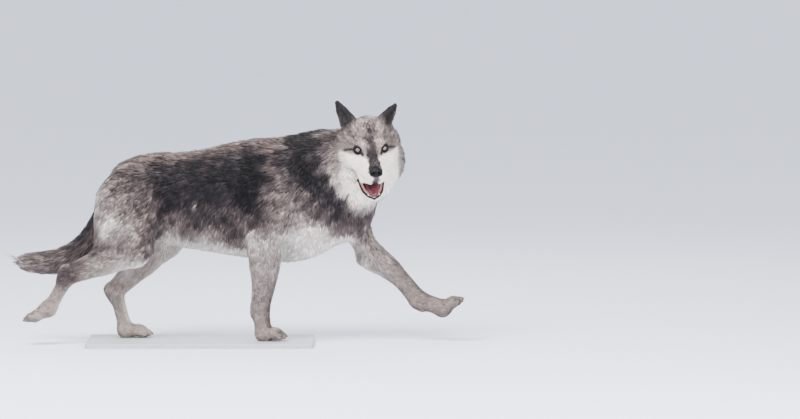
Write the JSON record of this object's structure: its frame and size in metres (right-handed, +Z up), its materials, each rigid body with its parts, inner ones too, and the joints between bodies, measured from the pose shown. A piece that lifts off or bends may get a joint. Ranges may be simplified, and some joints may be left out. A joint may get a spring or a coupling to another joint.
{
  "type": "wolf",
  "caption": "Life-size still wolf in mid stride on a plain flat stand, head turned to its right with the mouth open.",
  "frame": {"origin": "middle of the underside of the whole model's box, which is the underside of the stand", "axes": "+X the way the wolf walks, +Y its left side, +Z up"},
  "size_m": [1.721, 0.5168, 0.9413],
  "materials": {
    "coat": "dense fur, dark and pale grey guard hairs",
    "face_coat": "short pale fur",
    "eye": "wet amber iris, dark pupil",
    "nose_skin": "moist pebbled skin",
    "tongue_skin": "moist",
    "stand": "pale matt paint"
  },
  "bodies": {
    "root": {"head": "face_coat", "jaw": "face_coat", "ear_left": "coat", "ear_right": "coat", "eye_left": "eye", "eye_right": "eye", "nose": "nose_skin", "tongue": "tongue_skin", "neck": "coat", "trunk": "coat", "hindquarters": "coat", "tail": "coat", "fore_leg_left": "coat", "fore_paw_left": "coat", "fore_leg_right": "coat", "fore_paw_right": "coat", "hind_leg_left": "coat", "hind_paw_left": "coat", "hind_leg_right": "coat", "hind_paw_right": "coat", "stand_base": "stand"}
  },
  "joints": []
}
